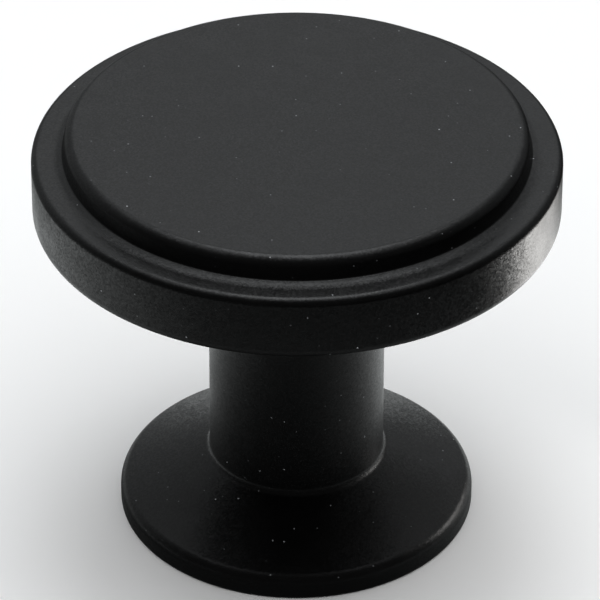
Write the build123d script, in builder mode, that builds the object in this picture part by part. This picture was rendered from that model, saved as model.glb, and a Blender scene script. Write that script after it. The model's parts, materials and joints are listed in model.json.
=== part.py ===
from build123d import *
import math
import os

# A round cabinet knob, cast in one piece. Its back lies on the drawer front at Z = 0 and its axis is +Z, so the
# base flange, the stem and the head follow one another upwards. Sizes are in millimetres.

# Head: a straight-walled disc that carries a slightly smaller raised disc on its face. The raised disc's wall leans
# in by its casting draft, and the ledge round it climbs a little to the wall's foot.
OVERALL_HEIGHT = 27.0
HEAD_DIAMETER = 32.0
HEAD_WALL_HEIGHT = 4.1
HEAD_UPPER_ROUND = 0.45
HEAD_LOWER_BREAK = 0.35
DISC_HEIGHT = 1.5
DISC_DRAFT_ANGLE = 11.0
DISC_EDGE_ROUND = 0.65
LEDGE_WIDTH = 1.87
LEDGE_SLOPE_WIDTH = 0.5
LEDGE_SLOPE_RISE = 0.17

# Stem, with a small round where it meets the base.
STEM_DIAMETER = 10.8
FOOT_ROUND = 0.5

# Base flange: an upright edge under a shallow cone that climbs to the stem.
BASE_DIAMETER = 22.0
BASE_EDGE_HEIGHT = 1.42
BASE_CONE_ANGLE = 23.7
BASE_EDGE_ROUND = 0.78
BACK_EDGE_BREAK = 0.2

# Blind hole for an M4 machine screw, at the thread's major diameter, with a drilled point at its end.
SCREW_DIAMETER = 4.0
SCREW_HOLE_DEPTH = 12.0
HOLE_MOUTH_CHAMFER = 0.4
DRILL_POINT_ANGLE = 118.0

head_radius = HEAD_DIAMETER / 2
disc_foot_radius = head_radius - LEDGE_WIDTH
stem_radius = STEM_DIAMETER / 2
base_radius = BASE_DIAMETER / 2
hole_radius = SCREW_DIAMETER / 2

ledge_height = OVERALL_HEIGHT - DISC_HEIGHT
disc_foot_height = ledge_height + LEDGE_SLOPE_RISE
face_radius = disc_foot_radius - (OVERALL_HEIGHT - disc_foot_height) * math.tan(math.radians(DISC_DRAFT_ANGLE))
underside_height = ledge_height - HEAD_WALL_HEIGHT
foot_height = BASE_EDGE_HEIGHT + (base_radius - stem_radius) * math.tan(math.radians(BASE_CONE_ANGLE))
drill_point_height = hole_radius / math.tan(math.radians(DRILL_POINT_ANGLE / 2))

os.makedirs("parts", exist_ok=True)

with BuildPart() as knob:
    # Half section of the casting, from the middle of its face out and down to the middle of its back.
    with BuildSketch(Plane.XZ):
        with BuildLine():
            outline = FilletPolyline(
                (0, OVERALL_HEIGHT),
                (face_radius, OVERALL_HEIGHT),
                (disc_foot_radius, disc_foot_height),
                (disc_foot_radius + LEDGE_SLOPE_WIDTH, ledge_height),
                (head_radius, ledge_height),
                (head_radius, underside_height),
                (stem_radius, underside_height),
                (stem_radius, foot_height),
                (base_radius, BASE_EDGE_HEIGHT),
                (base_radius, 0),
                (0, 0),
                radius=[DISC_EDGE_ROUND, 0, 0, HEAD_UPPER_ROUND, 0, 0, FOOT_ROUND, BASE_EDGE_ROUND, 0],
            )
            Line(outline @ 1, outline @ 0)
        make_face()
    revolve(axis=Axis.Z)

    # The head's lower edge and the back's outer edge are broken, so that the coat holds on them.
    head_lower_edge = knob.edges().filter_by(GeomType.CIRCLE).group_by(SortBy.RADIUS)[-1].sort_by(Axis.Z)[0]
    chamfer(head_lower_edge, HEAD_LOWER_BREAK)
    back_edge = knob.faces().sort_by(Axis.Z)[0].outer_wire().edges()
    chamfer(back_edge, BACK_EDGE_BREAK)

    # Screw hole, from its chamfered mouth in the back up to the drill's point.
    with BuildSketch(Plane.XZ):
        with BuildLine():
            Polyline(
                (0, 0),
                (hole_radius + HOLE_MOUTH_CHAMFER, 0),
                (hole_radius, HOLE_MOUTH_CHAMFER),
                (hole_radius, SCREW_HOLE_DEPTH),
                (0, SCREW_HOLE_DEPTH + drill_point_height),
                close=True,
            )
        make_face()
    revolve(axis=Axis.Z, mode=Mode.SUBTRACT)

knob.part.label = "knob"
export_step(knob.part, "parts/knob.step")
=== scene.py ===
"""Dresses the cast cabinet knob: its rounded edges, screw thread, black powder coat and a small studio."""

import json
import math
from collections import namedtuple

import bmesh
import bpy
from bpy.props import FloatProperty, FloatVectorProperty, IntProperty, PointerProperty
from mathutils import Matrix, Vector


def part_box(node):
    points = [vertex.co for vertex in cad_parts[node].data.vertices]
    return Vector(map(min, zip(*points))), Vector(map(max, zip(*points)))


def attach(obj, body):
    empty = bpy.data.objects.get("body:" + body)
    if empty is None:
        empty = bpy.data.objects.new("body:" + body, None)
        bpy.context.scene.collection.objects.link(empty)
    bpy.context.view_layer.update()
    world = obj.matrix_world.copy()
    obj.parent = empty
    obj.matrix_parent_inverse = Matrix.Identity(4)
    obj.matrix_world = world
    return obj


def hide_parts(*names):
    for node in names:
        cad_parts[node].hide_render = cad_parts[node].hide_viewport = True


bl_info = {
    "name": "Matt Black Cabinet Knob",
    "version": (1, 0, 0),
    "blender": (4, 5, 0),
    "location": "3D View > Sidebar > Knob",
    "description": "Makes a round cabinet knob with its thread and black powder coat, on a pale floor",
    "category": "Add Mesh",
}

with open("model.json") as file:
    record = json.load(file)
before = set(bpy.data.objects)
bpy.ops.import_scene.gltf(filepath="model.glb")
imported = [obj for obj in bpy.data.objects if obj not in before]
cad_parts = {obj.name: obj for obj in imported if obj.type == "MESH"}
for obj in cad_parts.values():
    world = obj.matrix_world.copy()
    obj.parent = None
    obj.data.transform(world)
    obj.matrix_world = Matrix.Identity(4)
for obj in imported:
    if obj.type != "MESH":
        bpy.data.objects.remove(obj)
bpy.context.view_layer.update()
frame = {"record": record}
KNOB_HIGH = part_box("knob")[1]
MM = 0.001
SCREW_HOLE = next(m for m in frame["record"]["mounts"] if m["name"] == "screw_hole")
HOLE_WALL = SCREW_HOLE["dims"]
HOLE_MOUTH = SCREW_HOLE["pos_m"][2] / MM

# Points closer than the merge distance are one point. A long enough straight run gets a ring a guard's width
# from each of its ends.
MERGE_DISTANCE = 1e-7
GUARD_WIDTH = 0.04 * MM
SHORTEST_GUARDED_RUN = 6 * GUARD_WIDTH

# The thread's ridge: its sink into the hole's wall, its crest against the pitch, and the lean of its flanks.
THREAD_SINK = 0.02 * MM
THREAD_CREST = 0.25
THREAD_FLANK = math.radians(30.0)

# The coat: where most of a noise's values lie, how much of a speck's radius is evenly covered, and the power
# that keeps most specks faint.
NOISE_SPAN = (0.3, 0.7)
SPECK_MIDDLE = 0.35
SPECK_RARITY = 3.0

# The studio, in metres. A lamp's level is the name of its radiance in the studio's settings.
FLOOR_RADIUS = 4.0
PAINTED_REFLECTION_RADIUS = 0.30
ROUND_SEGMENTS = 96
CAMERA_CLIP = 0.01
DOWN, FRONT, TO_HEAD = (0.0, 0.0, -1.0), (0.0, -1.0, 0.0), (-0.68, -0.46, 0.57)
COOL, WARM, WHITE = (0.955, 0.98, 1.0), (1.0, 0.985, 0.96), (1.0, 1.0, 1.0)
Lamp = namedtuple("Lamp", "name place facing width height level tint glare", defaults=(True,))
LAMPS = (
    Lamp("top_softbox", (0.0, 0.165, 0.50), DOWN, 0.20, 0.33, "top_light", COOL),
    Lamp("rear_softbox", (0.0, 0.185, 0.50), DOWN, 0.20, 0.15, "rear_light", COOL),
    Lamp("wide_sheet", (0.0, 0.085, 0.505), DOWN, 0.60, 0.49, "wide_light", COOL),
    Lamp("back_panel", (0.06, 0.50, 0.305), FRONT, 0.50, 0.19, "back_light", COOL),
    Lamp("low_card", (0.0290, 0.0060, 0.0098), TO_HEAD, 0.013, 0.012, "card_light", WARM),
    Lamp("low_card_core", (0.0293, 0.0004, 0.0126), TO_HEAD, 0.006, 0.012, "card_core", WARM),
    Lamp("floor_fill", (0.0, 0.0, 0.80), DOWN, 1.60, 1.60, "fill_light", WHITE, glare=False),
)

# A fade turns the distance from a point, or how far a place lies along a direction, into a level.
Fade = namedtuple("Fade", "measure vector span levels")
# The painted reflection card's strength across the floor: painted light round the knob, with a painted shadow
# in front of it.
PAINTED_REFLECTION_FADES = (
    # Painted shade under the knob.
    Fade("DISTANCE", (-0.004, -0.008, 0.0), (0.008, 0.036), (0.08, 1.0)),
    # The knob's shadow, painted in front.
    Fade("DOT_PRODUCT", (-0.25, 1.0, 0.0), (-0.045, 0.025), (0.16, 1.0)),
    # No painted light at the far right.
    Fade("DOT_PRODUCT", (1.0, 0.0, 0.0), (0.032, 0.043), (1.0, 0.0)),
    # Painted light, stronger behind and at the right.
    Fade("DOT_PRODUCT", (0.6, 1.0, 0.0), (0.005, 0.016), (1.0, 1.35)),
    # The painted light's outer edge.
    Fade("DISTANCE", (-0.0025, -0.008, 0.0), (0.043, 0.052), (1.0, 0.15)),
)
SURROUND_FADES = (
    # Lighter at the left.
    Fade("DOT_PRODUCT", (1.0, 0.0, 0.0), (0.60, -0.60), (0.60, 1.0)),
    # Lighter behind the knob.
    Fade("DOT_PRODUCT", (0.0, 1.0, 0.0), (-0.35, 0.75), (0.0, 1.0)),
    # Lighter above the horizon.
    Fade("DOT_PRODUCT", (0.0, 0.0, 1.0), (0.0, 0.45), (0.60, 1.0)),
)


def length(name, description, millimetres):
    """A length that the sidebar shows in the scene's own unit."""
    return FloatProperty(name=name, description=description, default=millimetres * MM, min=0.0,
                         subtype="DISTANCE", unit="LENGTH", precision=5)


def angle(name, description, degrees):
    """An angle, kept in radians."""
    return FloatProperty(name=name, description=description, default=math.radians(degrees),
                         subtype="ANGLE", unit="ROTATION")


def share(name, description, value, high=1.0):
    """A plain number from nothing up to high."""
    return FloatProperty(name=name, description=description, default=value, min=0.0, max=high, precision=4,
                         subtype="FACTOR" if high == 1.0 else "NONE")


def colour(name, description, value):
    """A linear colour."""
    return FloatVectorProperty(name=name, description=description, default=value, size=3, min=0.0, max=1.0,
                               subtype="COLOR")


class KnobSizes(bpy.types.PropertyGroup):
    """Sizes of the casting."""

    overall_height: length("Overall Height", "From the back to the raised disc's face", KNOB_HIGH.z / MM)
    head_diameter: length("Head Diameter", "Across the head's upright wall", 2 * KNOB_HIGH.x / MM)
    head_wall_height: length("Head Wall Height", "From the head's underside to the ledge", 4.1)
    head_upper_round: length("Ledge Edge Round", "Round of the ledge's outer edge", 0.45)
    head_lower_round: length("Underside Edge Round", "Round of the underside's outer edge", 0.55)
    ledge_width: length("Ledge Width", "From the raised disc to the head's wall", 1.87)
    disc_height: length("Disc Height", "From the ledge to the raised disc's face", 1.5)
    disc_draft: angle("Disc Draft", "How far the raised disc's wall leans in", 11.0)
    disc_edge_round: length("Disc Edge Round", "Round of the raised disc's edge", 0.65)
    disc_foot_round: length("Disc Foot Round", "Hollow round at the foot of the raised disc's wall", 0.1)
    ledge_slope_width: length("Ledge Slope Width", "Width of the ledge's part that climbs to the disc", 0.5)
    ledge_slope_rise: length("Ledge Slope Rise", "How far the ledge climbs to the disc", 0.17)
    ledge_slope_round: length("Ledge Slope Round", "Hollow round between the ledge's slope and its flat", 1.3)
    stem_diameter: length("Stem Diameter", "Across the stem", 10.8)
    neck_round: length("Neck Round", "Fillet of coat between the stem and the head", 0.2)
    foot_round: length("Foot Round", "Hollow round between the stem and the base", 0.5)
    base_diameter: length("Base Diameter", "Across the base flange", 22.0)
    base_edge_height: length("Base Edge Height", "From the back to where the cone meets the edge", 1.42)
    base_edge_round: length("Base Edge Round", "Round between the base's edge and its cone", 0.78)
    base_cone_angle: angle("Base Cone Angle", "Slope of the base's upper face", 23.7)
    back_edge_round: length("Back Edge Round", "Round of the back's outer edge", 0.2)
    turn_steps: IntProperty(name="Turn Steps", description="Facets in a full turn", default=320, min=64)


class ScrewHoleSizes(bpy.types.PropertyGroup):
    """Sizes of the tapped hole in the back."""

    major_diameter: length("Major Diameter", "Across the thread's roots", 2 * HOLE_WALL["r_mm"])
    minor_diameter: length("Minor Diameter", "Across the thread's crests", 3.24)
    pitch: length("Pitch", "From one thread to the next", 0.7)
    depth: length("Hole Depth", "Depth of the full diameter", HOLE_MOUTH + HOLE_WALL["length_mm"])
    mouth_chamfer: length("Mouth Chamfer", "Chamfer at the hole's mouth", HOLE_MOUTH)
    drill_point_angle: angle("Drill Point Angle", "Full angle of the hole's pointed end", 118.0)
    turns: IntProperty(name="Turns", description="Whole turns of thread", default=14, min=1)
    turn_steps: IntProperty(name="Turn Steps", description="Facets in one turn of thread", default=64, min=16)


class CoatLook(bpy.types.PropertyGroup):
    """Colours and grain of the powder coat."""

    coat: colour("Coat", "Colour of the coat", (0.0014, 0.0014, 0.00145))
    dust: colour("Dust", "Colour of the dust specks", (0.42, 0.44, 0.46))
    roughness: share("Roughness", "How matt the coat is", 0.34)
    sheen_change: share("Sheen Change", "How far the roughness strays from its middle", 0.03)
    grain_size: length("Grain Size", "Width of one grain of the coat", 0.10)
    grain_lean: share("Grain Lean", "How far the grains lean out of the surface, as a slope", 0.052)
    ripple_size: length("Ripple Size", "Width of the coat's flow ripple", 1.6)
    ripple_height: length("Ripple Height", "How far the flow ripple stands up", 0.004)
    speck_spacing: length("Speck Spacing", "Distance between dust specks through the air", 0.71)
    speck_size: length("Speck Size", "Radius of the largest dust speck", 0.062)


class StudioLook(bpy.types.PropertyGroup):
    """Floor, surround, lamps and camera."""

    floor: colour("Floor", "Colour of the floor", (0.95, 0.95, 0.95))
    # The colour of the painted reflection of the floor, which only the coat's sheen sees.
    floor_reflection_paint: colour("Floor Reflection Paint", "Light of the floor in the coat's sheen", (0.96, 1.0, 1.0))
    surround: colour("Surround", "Light of the room behind the knob and at the left", (0.29, 0.302, 0.308))
    surround_dark: colour("Dark Surround", "Light of the room on the camera's side", (0.04, 0.04, 0.04))
    top_light: share("Top Light", "Radiance of the softbox overhead", 2.0, 20.0)
    rear_light: share("Rear Light", "Radiance of the softbox overhead and behind", 3.4, 20.0)
    wide_light: share("Wide Light", "Radiance of the wide sheet overhead", 0.56, 20.0)
    back_light: share("Back Light", "Radiance of the panel behind the knob", 0.55, 20.0)
    card_light: share("Card Light", "Radiance of the low card standing close at the right", 2.7, 50.0)
    card_core: share("Card Core", "Radiance of the narrow card that overlaps it", 3.2, 50.0)
    fill_light: share("Floor Fill", "Radiance of the floor's lamp, which gives no glare", 1.08, 20.0)
    camera_place: FloatVectorProperty(name="Camera Place", description="Where the camera stands", size=3,
                                      default=(0.0, -0.26333, 0.19543), subtype="TRANSLATION", unit="LENGTH")
    camera_pitch: angle("Camera Pitch", "How far the camera looks down", 34.474)
    camera_yaw: angle("Camera Yaw", "How far the camera turns to the right", 0.043)
    camera_roll: angle("Camera Roll", "How far the camera leans", 0.155)
    camera_lens: FloatProperty(name="Camera Lens", description="Focal length on a 36 mm wide sensor",
                               default=312.78, unit="CAMERA")


def new_piece(name, bm, material, smooth=True):
    """Makes a piece of the bmesh, which is used up, and puts the material on it."""
    mesh = bpy.data.meshes.new(name)
    for face in bm.faces:
        face.smooth = smooth
    bm.to_mesh(mesh)
    bm.free()
    mesh.materials.append(material)
    piece = bpy.data.objects.new(name, mesh)
    bpy.context.scene.collection.objects.link(piece)
    return piece


def tidy(bm):
    """Merges what a turn leaves double and points the faces outwards."""
    bmesh.ops.remove_doubles(bm, verts=bm.verts, dist=MERGE_DISTANCE)
    bmesh.ops.recalc_face_normals(bm, faces=bm.faces)


def half_section(bm, corners):
    """Draws a half section from corners of (radius, height, round, steps in the round), then rounds them."""
    points = [bm.verts.new((r, 0.0, z)) for r, z, _, _ in corners]
    for start, end in zip(points, points[1:]):
        bm.edges.new((start, end))
    for i, (_, _, rounding, steps) in enumerate(corners):
        if not rounding:
            continue
        here, before, after = (Vector(corners[j][:2]) for j in (i, i - 1, i + 1))
        turn = (here - before).angle(after - here)
        bmesh.ops.bevel(bm, geom=[points[i]], offset=rounding * math.tan(turn / 2), offset_type="OFFSET",
                        segments=steps, profile=0.5, affect="VERTICES", material=-1)


def guard_rings(bm):
    """Splits each long straight run near both its ends, so that smooth shading stays flat along the run."""
    for run in [e for e in bm.edges if e.calc_length() > SHORTEST_GUARDED_RUN]:
        start, end = run.verts
        new_run, _ = bmesh.utils.edge_split(run, start, GUARD_WIDTH / run.calc_length())
        rest = run if end in run.verts else new_run
        bmesh.utils.edge_split(rest, end, GUARD_WIDTH / rest.calc_length())


def add_node(tree, kind, name=None, **settings):
    """Adds a node, with a label where it has a name, and sets such things as its operation."""
    node = tree.nodes.new(kind)
    if name:
        node.name = node.label = name
    for setting, value in settings.items():
        setattr(node, setting, value)
    return node


def operate(tree, kind, operation, *terms, name=None):
    """Adds a math node. Its terms are other nodes' outputs, or constants."""
    node = add_node(tree, kind, name, operation=operation)
    for socket, term in zip(node.inputs, terms):
        if isinstance(term, bpy.types.NodeSocket):
            tree.links.new(term, socket)
        else:
            socket.default_value = term
    return node.outputs


def product(tree, *factors):
    """The product of several outputs."""
    result = factors[0]
    for factor in factors[1:]:
        result = operate(tree, "ShaderNodeMath", "MULTIPLY", result, factor)["Value"]
    return result


def ramp(tree, source, span, levels, name=None, kind="LINEAR"):
    """Maps a span of the source to the two levels, and holds them past its ends."""
    node = add_node(tree, "ShaderNodeMapRange", name, interpolation_type=kind)
    for socket, value in zip(("From Min", "From Max", "To Min", "To Max"), (*span, *levels)):
        node.inputs[socket].default_value = value
    tree.links.new(source, node.inputs["Value"])
    return node.outputs["Result"]


def fade_across(tree, place, fades):
    """The product of several fades across a place."""
    levels = []
    for fade in fades:
        measure = operate(tree, "ShaderNodeVectorMath", fade.measure, place, fade.vector)["Value"]
        levels.append(ramp(tree, measure, fade.span, fade.levels, kind="SMOOTHSTEP"))
    return product(tree, *levels)


def mix_colours(tree, share_of_second, first, second, name=None):
    """Mixes two linear colours."""
    node = add_node(tree, "ShaderNodeMix", name, data_type="RGBA")
    node.inputs["A"].default_value = (*first, 1.0)
    node.inputs["B"].default_value = (*second, 1.0)
    tree.links.new(share_of_second, node.inputs["Factor"])
    return node.outputs["Result"]


def add_texture(tree, kind, name, place, size):
    """Adds a texture whose features are about as wide as size."""
    node = add_node(tree, kind, name)
    node.inputs["Scale"].default_value = 1 / size
    tree.links.new(place, node.inputs["Vector"])
    return node


def make_powder_coat(look):
    """Black powder coat: fine grain, faint flow ripple, slightly uneven sheen and a few pale dust specks."""
    material = bpy.data.materials.new("powder_coat")
    material.use_nodes = True
    tree = material.node_tree
    coat = tree.nodes["Principled BSDF"]
    place = add_node(tree, "ShaderNodeTexCoord").outputs["Object"]
    ripple = add_texture(tree, "ShaderNodeTexNoise", "Flow Ripple", place, look.ripple_size)
    ripple.inputs["Detail"].default_value = 1.0
    tree.links.new(coat_normal(tree, look, place, ripple), coat.inputs["Normal"])
    rough_span = (look.roughness - look.sheen_change, look.roughness + look.sheen_change)
    sheen = ramp(tree, ripple.outputs["Fac"], NOISE_SPAN, rough_span, "Uneven Sheen")
    tree.links.new(sheen, coat.inputs["Roughness"])
    paint = mix_colours(tree, dust_specks(tree, look, place), look.coat, look.dust, "Dust on Coat")
    tree.links.new(paint, coat.inputs["Base Color"])
    return material


def coat_normal(tree, look, place, ripple):
    """The coat's surface: the flow ripple, with each grain leaning its own way."""
    grain = add_texture(tree, "ShaderNodeTexVoronoi", "Grain", place, look.grain_size)
    twice, back = (2 * look.grain_lean,) * 3, (-look.grain_lean,) * 3
    lean = operate(tree, "ShaderNodeVectorMath", "MULTIPLY_ADD", grain.outputs["Color"], twice, back,
                   name="Grain Lean")["Vector"]
    bump = add_node(tree, "ShaderNodeBump")
    bump.inputs["Distance"].default_value = look.ripple_height
    tree.links.new(ripple.outputs["Fac"], bump.inputs["Height"])
    leaning = operate(tree, "ShaderNodeVectorMath", "ADD", bump.outputs["Normal"], lean)["Vector"]
    return operate(tree, "ShaderNodeVectorMath", "NORMALIZE", leaning)["Vector"]


def dust_specks(tree, look, place):
    """How far dust covers the coat: most specks are faint, and a few are pale."""
    specks = add_texture(tree, "ShaderNodeTexVoronoi", "Dust Specks", place, look.speck_spacing)
    rim = look.speck_size / look.speck_spacing
    cover = ramp(tree, specks.outputs["Distance"], (rim, SPECK_MIDDLE * rim), (0.0, 1.0), "Speck Edge")
    pick = add_node(tree, "ShaderNodeSeparateColor")
    tree.links.new(specks.outputs["Color"], pick.inputs["Color"])
    strength = operate(tree, "ShaderNodeMath", "POWER", pick.outputs["Red"], SPECK_RARITY)["Value"]
    return product(tree, cover, strength)


def shared_coat(context):
    """The powder coat, made once."""
    return bpy.data.materials.get("powder_coat") or make_powder_coat(context.scene.coat_look)


class KNOB_OT_casting(bpy.types.Operator):
    """Turns the knob's casting from its rounded half section"""

    bl_idname = "knob.casting"
    bl_label = "Casting"

    def execute(self, context):
        size, hole = context.scene.knob_sizes, context.scene.screw_hole_sizes
        head = size.head_diameter / 2
        disc = head - size.ledge_width
        stem, base, bore = size.stem_diameter / 2, size.base_diameter / 2, hole.major_diameter / 2
        top = size.overall_height
        ledge = top - size.disc_height
        disc_foot = ledge + size.ledge_slope_rise
        face = disc - (top - disc_foot) * math.tan(size.disc_draft)
        underside = ledge - size.head_wall_height
        foot = size.base_edge_height + (base - stem) * math.tan(size.base_cone_angle)
        mouth = hole.mouth_chamfer
        point = hole.depth + bore / math.tan(hole.drill_point_angle / 2)
        bm = bmesh.new()
        half_section(bm, [
            (0.0, top, 0.0, 0),
            (face, top, size.disc_edge_round, 14),
            (disc, disc_foot, size.disc_foot_round, 6),
            (disc + size.ledge_slope_width, ledge, size.ledge_slope_round, 8),
            (head, ledge, size.head_upper_round, 10),
            (head, underside, size.head_lower_round, 10),
            (stem, underside, size.neck_round, 5),
            (stem, foot, size.foot_round, 10),
            (base, size.base_edge_height, size.base_edge_round, 12),
            (base, 0.0, size.back_edge_round, 5),
            (bore + mouth, 0.0, 0.0, 0),
            (bore, mouth, 0.0, 0),
            (bore, hole.depth, 0.0, 0),
            (0.0, point, 0.0, 0),
        ])
        guard_rings(bm)
        bmesh.ops.spin(bm, geom=bm.verts[:] + bm.edges[:], cent=(0, 0, 0), axis=(0, 0, 1), angle=2 * math.pi,
                       steps=size.turn_steps, use_merge=True)
        tidy(bm)
        casting = new_piece("knob_casting", bm, shared_coat(context))
        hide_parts("knob")
        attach(casting, "root")
        return {"FINISHED"}


class KNOB_OT_thread(bpy.types.Operator):
    """Winds the screw thread's ridge along the wall of the hole"""

    bl_idname = "knob.thread"
    bl_label = "Screw Thread"

    def execute(self, context):
        hole = context.scene.screw_hole_sizes
        root = hole.major_diameter / 2 + THREAD_SINK
        crest = hole.minor_diameter / 2
        half_crest = THREAD_CREST * hole.pitch / 2
        half_root = half_crest + (root - crest) * math.tan(THREAD_FLANK)
        start = hole.mouth_chamfer + half_root
        bm = bmesh.new()
        corners = [(root, -half_root), (root, half_root), (crest, half_crest), (crest, -half_crest)]
        ridge = bm.faces.new([bm.verts.new((r, 0.0, start + z)) for r, z in corners])
        bmesh.ops.spin(bm, geom=[ridge, *ridge.edges, *ridge.verts], cent=(0, 0, 0), axis=(0, 0, 1),
                       dvec=(0, 0, hole.pitch / hole.turn_steps), angle=2 * math.pi * hole.turns,
                       steps=hole.turns * hole.turn_steps)
        tidy(bm)
        thread = new_piece("screw_thread", bm, shared_coat(context), smooth=False)
        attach(thread, "root")
        return {"FINISHED"}


def add_lamp(lamp, radiance):
    """A soft lamp that the camera doesn't see, with its brightness given as the radiance of its face."""
    data = bpy.data.lights.new(lamp.name, "AREA")
    data.shape = "RECTANGLE"
    data.size, data.size_y = lamp.width, lamp.height
    data.energy = radiance * math.pi * lamp.width * lamp.height
    data.color = lamp.tint
    light = bpy.data.objects.new(lamp.name, data)
    bpy.context.scene.collection.objects.link(light)
    turn = Vector(lamp.facing).to_track_quat("-Z", "Y").to_matrix().to_4x4()
    light.matrix_world = Matrix.Translation(lamp.place) @ turn
    light.visible_camera = False
    light.visible_glossy = lamp.glare


def round_sheet(name, radius, material):
    """A flat round sheet at the knob's back, centred on its axis."""
    bm = bmesh.new()
    bmesh.ops.create_circle(bm, cap_ends=True, radius=radius, segments=ROUND_SEGMENTS)
    return new_piece(name, bm, material, smooth=False)


class KNOB_OT_studio(bpy.types.Operator):
    """Sets the floor, the surround, the lamps and the camera"""

    bl_idname = "knob.studio"
    bl_label = "Studio"

    def execute(self, context):
        scene, look = context.scene, context.scene.studio_look
        self.lay_floor(look)
        self.lay_painted_reflection_card(look)
        self.light_surround(scene, look)
        for lamp in LAMPS:
            add_lamp(lamp, getattr(look, lamp.level))
        self.set_camera(scene, look)
        scene.view_settings.view_transform = "Standard"
        return {"FINISHED"}

    def lay_floor(self, look):
        """A large plain floor that the knob stands on. The coat's sheen doesn't see it; the card with the
        floor's painted reflection stands for it there.
        """
        material = bpy.data.materials.new("pale_floor")
        material.use_nodes = True
        paper = material.node_tree.nodes["Principled BSDF"]
        paper.inputs["Base Color"].default_value = (*look.floor, 1.0)
        paper.inputs["Roughness"].default_value = 1.0
        paper.inputs["Specular IOR Level"].default_value = 0.0
        floor = round_sheet("floor", FLOOR_RADIUS, material)
        floor.visible_glossy = False

    def lay_painted_reflection_card(self, look):
        """A painted reflection of the floor, seen only in the coat's sheen: painted light beside and behind
        the knob, and a painted shadow in front of it.
        """
        material = bpy.data.materials.new("painted_reflection_card")
        material.use_nodes = True
        tree = material.node_tree
        tree.nodes.remove(tree.nodes["Principled BSDF"])
        place = add_node(tree, "ShaderNodeTexCoord").outputs["Object"]
        painted_light = add_node(tree, "ShaderNodeEmission")
        painted_light.inputs["Color"].default_value = (*look.floor_reflection_paint, 1.0)
        tree.links.new(fade_across(tree, place, PAINTED_REFLECTION_FADES), painted_light.inputs["Strength"])
        tree.links.new(painted_light.outputs["Emission"], tree.nodes["Material Output"].inputs["Surface"])
        card = round_sheet("painted_reflection_card", PAINTED_REFLECTION_RADIUS, material)
        # The card glows only in the coat's sheen, as a painted reflection, and lights nothing else.
        card.visible_camera = card.visible_diffuse = card.visible_shadow = card.visible_transmission = False

    def light_surround(self, scene, look):
        """A dim room that is lighter at the left and behind, above a darker horizon."""
        world = bpy.data.worlds.new("studio_surround")
        scene.world = world
        world.use_nodes = True
        tree = world.node_tree
        direction = add_node(tree, "ShaderNodeTexCoord").outputs["Generated"]
        level = fade_across(tree, direction, SURROUND_FADES)
        shade = mix_colours(tree, level, look.surround_dark, look.surround)
        tree.links.new(shade, tree.nodes["Background"].inputs["Color"])

    def set_camera(self, scene, look):
        """The camera at the photograph's viewing angle."""
        data = bpy.data.cameras.new("camera")
        data.lens = look.camera_lens
        data.clip_start = CAMERA_CLIP
        camera = bpy.data.objects.new("camera", data)
        scene.collection.objects.link(camera)
        yaw = Matrix.Rotation(-look.camera_yaw, 4, "Z")
        pitch = Matrix.Rotation(math.pi / 2 - look.camera_pitch, 4, "X")
        roll = Matrix.Rotation(look.camera_roll, 4, "Z")
        camera.matrix_world = Matrix.Translation(look.camera_place) @ yaw @ pitch @ roll
        scene.camera = camera


class KNOB_PT_sidebar(bpy.types.Panel):
    """Lists the knob's pieces and sizes"""

    bl_idname = "KNOB_PT_sidebar"
    bl_label = "Cabinet Knob"
    bl_space_type = "VIEW_3D"
    bl_region_type = "UI"
    bl_category = "Knob"

    def draw(self, context):
        for operator in PIECES:
            self.layout.operator(operator.bl_idname)
        for owner in SETTINGS:
            group = getattr(context.scene, owner)
            box = self.layout.box()
            for name in group.__annotations__:
                box.prop(group, name)


PIECES = (KNOB_OT_casting, KNOB_OT_thread, KNOB_OT_studio)
SETTINGS = {
    "knob_sizes": KnobSizes,
    "screw_hole_sizes": ScrewHoleSizes,
    "coat_look": CoatLook,
    "studio_look": StudioLook,
}
CLASSES = (*SETTINGS.values(), *PIECES, KNOB_PT_sidebar)


def register():
    """Adds the classes and the scene's settings."""
    for item in CLASSES:
        bpy.utils.register_class(item)
    for name, group in SETTINGS.items():
        setattr(bpy.types.Scene, name, PointerProperty(type=group))


def unregister():
    """Takes the settings and the classes away again."""
    for name in SETTINGS:
        delattr(bpy.types.Scene, name)
    for item in reversed(CLASSES):
        bpy.utils.unregister_class(item)


def main():
    """Makes every piece and the studio."""
    register()
    bpy.ops.knob.casting()
    bpy.ops.knob.thread()
    bpy.ops.knob.studio()


if __name__ == "__main__":
    main()
